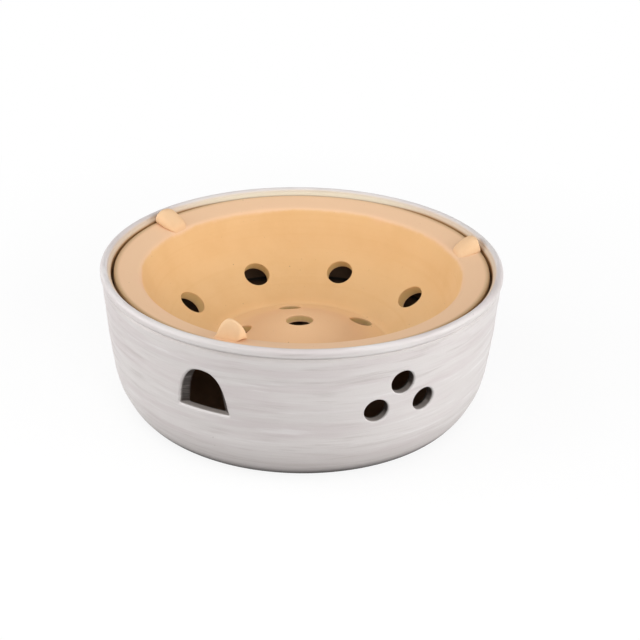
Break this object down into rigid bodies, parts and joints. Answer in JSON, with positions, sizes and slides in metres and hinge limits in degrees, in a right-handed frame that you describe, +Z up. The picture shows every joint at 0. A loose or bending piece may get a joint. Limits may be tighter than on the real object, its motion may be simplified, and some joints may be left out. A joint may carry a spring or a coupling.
{
  "type": "table barbecue grill",
  "caption": "Round ceramic charcoal table grill: a glazed outer bowl with draught openings and a lift-out pierced fire bowl with clay net rests on its rim.",
  "frame": {"origin": "middle of the outer bowl's foot, on the table", "axes": "+Z up along the bowls' axis; -Y towards the viewer of the picture, +X to the viewer's right"},
  "size_m": [0.29, 0.29, 0.1143],
  "materials": {
    "white_glaze": "satin white brushed glaze",
    "orange_clay": "unglazed, matt",
    "pale_clay": "unglazed, matt"
  },
  "bodies": {
    "outer": {"outer_bowl": "white_glaze"},
    "fire": {"fire_bowl": "orange_clay", "net_rest_1": "pale_clay", "net_rest_2": "pale_clay", "net_rest_3": "pale_clay"}
  },
  "joints": [
    {"name": "fire_bowl_lift", "type": "slide", "parent": "outer", "child": "fire", "axis": [0, 0, 1], "range_m": [0, 0.09]}
  ]
}
